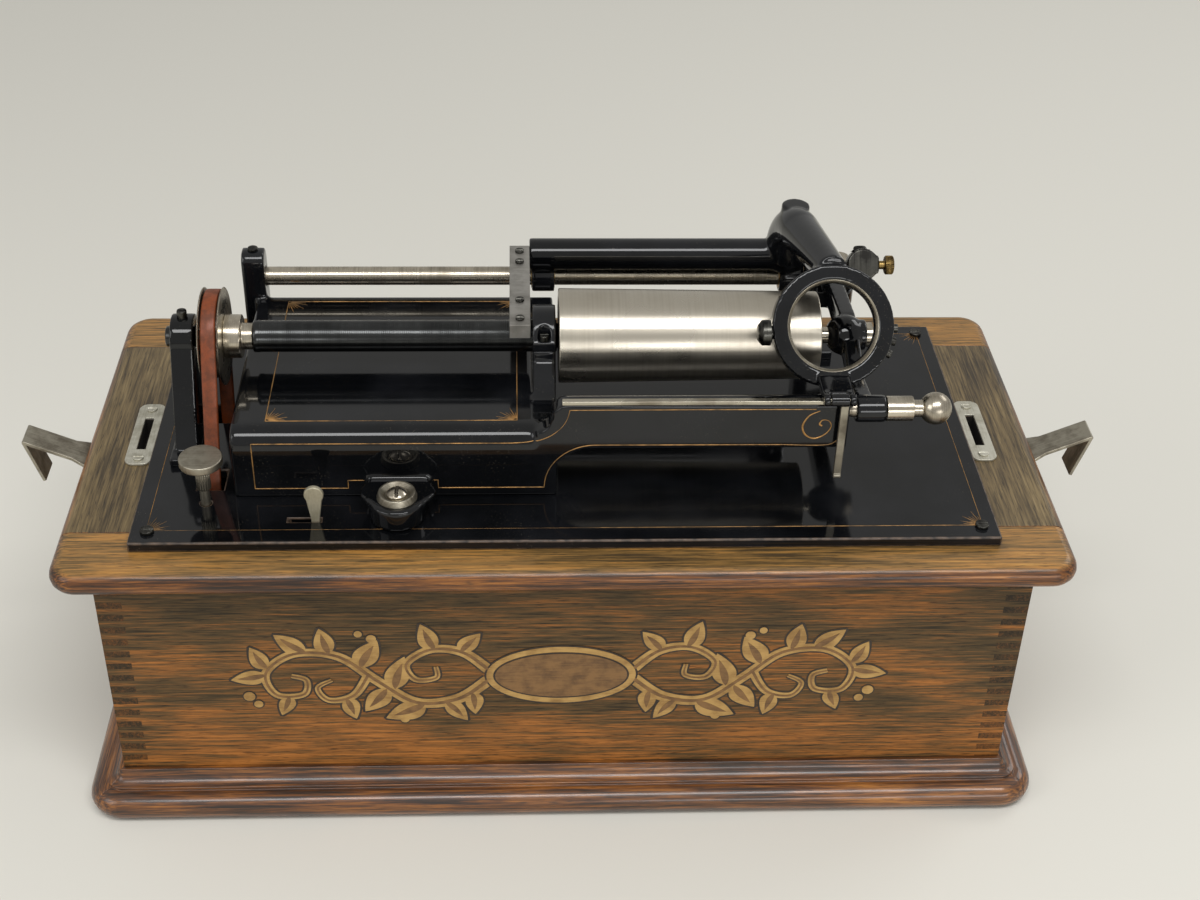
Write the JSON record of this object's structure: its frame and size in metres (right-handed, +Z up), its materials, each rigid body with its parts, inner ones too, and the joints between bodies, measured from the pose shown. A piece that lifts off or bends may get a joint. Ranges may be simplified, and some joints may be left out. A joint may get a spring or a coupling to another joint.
{
  "type": "cylinder phonograph",
  "caption": "Spring-driven cylinder phonograph in a finger-jointed oak case: tapered mandrel, feed screw, tipping carriage, end gate, belt and motor under a hinged top.",
  "frame": {"origin": "centre of the base moulding's footprint, on the table", "axes": "+X to the right along the spindle, +Y to the back, +Z up"},
  "size_m": [0.5332, 0.231, 0.2623],
  "materials": {
    "oak": "varnished",
    "black_japan": "gloss japan",
    "nickel": "polished nickel",
    "steel": "satin",
    "brass": "worn",
    "leather": "worn"
  },
  "bodies": {
    "case": {"front_board": "oak", "back_board": "oak", "left_board": "oak", "right_board": "oak", "bottom_board": "oak", "front_moulding": "oak", "back_moulding": "oak", "side_mouldings": "oak", "case_hinge_leaves": "brass", "hinge_pins": "brass", "winding_escutcheon": "brass", "latch_brackets": "steel", "latch_pins": "steel"},
    "top": {"front_rail": "oak", "back_rail": "oak", "side_rails": "oak", "top_hinge_leaves": "brass", "slot_plates": "steel", "slot_plate_screws": "steel", "bedplate": "black_japan", "bedplate_screws": "steel", "body_casting": "black_japan", "straight_edge": "steel", "bearing_cap": "black_japan", "works_screws": "steel", "pulley_post": "black_japan", "back_rod": "nickel", "gate_post": "black_japan", "gate_pin": "nickel", "hold_down_cup": "nickel", "hold_down_screw": "nickel", "motor_plates": "steel", "motor_pillars": "steel", "drive_belt": "leather"},
    "spindle": {"mandrel": "nickel", "feed_screw": "steel", "upper_pulley": "nickel", "shaft_collar": "nickel"},
    "carriage_slider": {"carriage_bushes": "brass"},
    "carriage": {"carriage_casting": "black_japan", "feed_nut_bar": "steel", "feed_nut": "brass", "carriage_screws": "steel", "shaver_block": "nickel", "lift_lever_pin": "nickel"},
    "lift_lever": {"lift_lever": "nickel"},
    "shaver_screw": {"shaver_thumbscrew": "brass"},
    "end_gate": {"end_gate": "black_japan", "centre_pin": "nickel"},
    "gate_bolt": {"gate_bolt": "nickel"},
    "start_lever": {"start_lever": "nickel"},
    "speed_screw": {"speed_screw": "nickel"},
    "left_latch": {"left_latch": "steel"},
    "right_latch": {"right_latch": "steel"},
    "spring_barrel": {"spring_barrel": "brass"},
    "winding_arbor": {"winding_arbor": "steel"},
    "second_arbor": {"second_arbor": "brass"},
    "drive_shaft": {"drive_shaft": "brass"},
    "governor": {"governor": "brass"}
  },
  "joints": [
    {"name": "top_tilt", "type": "hinge", "parent": "case", "child": "top", "pos_m": [0, 0.1015, 0.143], "axis": [-1, 0, 0], "range_deg": [0, 75]},
    {"name": "spindle_spin", "type": "hinge", "parent": "top", "child": "spindle", "pos_m": [0, 0, 0.2113], "axis": [1, 0, 0], "continuous": true},
    {"name": "carriage_slide", "type": "slide", "parent": "top", "child": "carriage_slider", "axis": [1, 0, 0], "range_m": [-0.11, 0]},
    {"name": "carriage_lift", "type": "hinge", "parent": "carriage_slider", "child": "carriage", "pos_m": [0, 0.068, 0.2055], "axis": [-1, 0, 0], "range_deg": [0, 65]},
    {"name": "lift_lever_swing", "type": "hinge", "parent": "carriage", "child": "lift_lever", "pos_m": [0.1236, -0.065, 0.2165], "axis": [-1, 0, 0], "range_deg": [0, 90]},
    {"name": "shaver_screw_turn", "type": "hinge", "parent": "carriage", "child": "shaver_screw", "pos_m": [0.15, -0.00485, 0.25293], "axis": [1, 0, 0], "range_deg": [-180, 180]},
    {"name": "gate_swing", "type": "hinge", "parent": "top", "child": "end_gate", "pos_m": [0.143, 0.068, 0.2], "axis": [0, 0, 1], "range_deg": [0, 100]},
    {"name": "gate_bolt_pull", "type": "slide", "parent": "end_gate", "child": "gate_bolt", "axis": [1, 0, 0], "range_m": [0, 0.008], "stiffness_N_per_m": 200, "springref_m": -0.002},
    {"name": "start_lever_slide", "type": "slide", "parent": "top", "child": "start_lever", "axis": [1, 0, 0], "range_m": [-0.01, 0]},
    {"name": "speed_screw_turn", "type": "hinge", "parent": "top", "child": "speed_screw", "pos_m": [-0.1687, -0.0647, 0.16], "axis": [0, 0, 1], "range_deg": [-180, 180]},
    {"name": "left_latch_swing", "type": "hinge", "parent": "case", "child": "left_latch", "pos_m": [-0.2228, -0.002, 0.1365], "axis": [0, -1, 0], "range_deg": [0, 30], "stiffness_Nm_per_rad": 0.06, "springref_deg": -28.65},
    {"name": "right_latch_swing", "type": "hinge", "parent": "case", "child": "right_latch", "pos_m": [0.2228, -0.002, 0.1365], "axis": [0, 1, 0], "range_deg": [0, 30], "stiffness_Nm_per_rad": 0.06, "springref_deg": -28.65},
    {"name": "barrel_spin", "type": "hinge", "parent": "top", "child": "spring_barrel", "pos_m": [0, 0.02, 0.095], "axis": [1, 0, 0], "continuous": true},
    {"name": "winding_spin", "type": "hinge", "parent": "top", "child": "winding_arbor", "pos_m": [0, 0.02, 0.095], "axis": [1, 0, 0], "continuous": true},
    {"name": "second_arbor_spin", "type": "hinge", "parent": "top", "child": "second_arbor", "pos_m": [0, -0.02007, 0.06724], "axis": [1, 0, 0], "continuous": true},
    {"name": "drive_shaft_spin", "type": "hinge", "parent": "top", "child": "drive_shaft", "pos_m": [0, -0.035, 0.1], "axis": [1, 0, 0], "continuous": true},
    {"name": "governor_spin", "type": "hinge", "parent": "top", "child": "governor", "pos_m": [0, -0.0185, 0.12858], "axis": [1, 0, 0], "continuous": true}
  ],
  "couplings": [
    {"joint": "drive_shaft_spin", "follows": "spindle_spin", "ratio": 0.68254},
    {"joint": "second_arbor_spin", "follows": "spindle_spin", "ratio": -0.22751},
    {"joint": "barrel_spin", "follows": "spindle_spin", "ratio": 0.068254},
    {"joint": "governor_spin", "follows": "spindle_spin", "ratio": -1.8201}
  ]
}
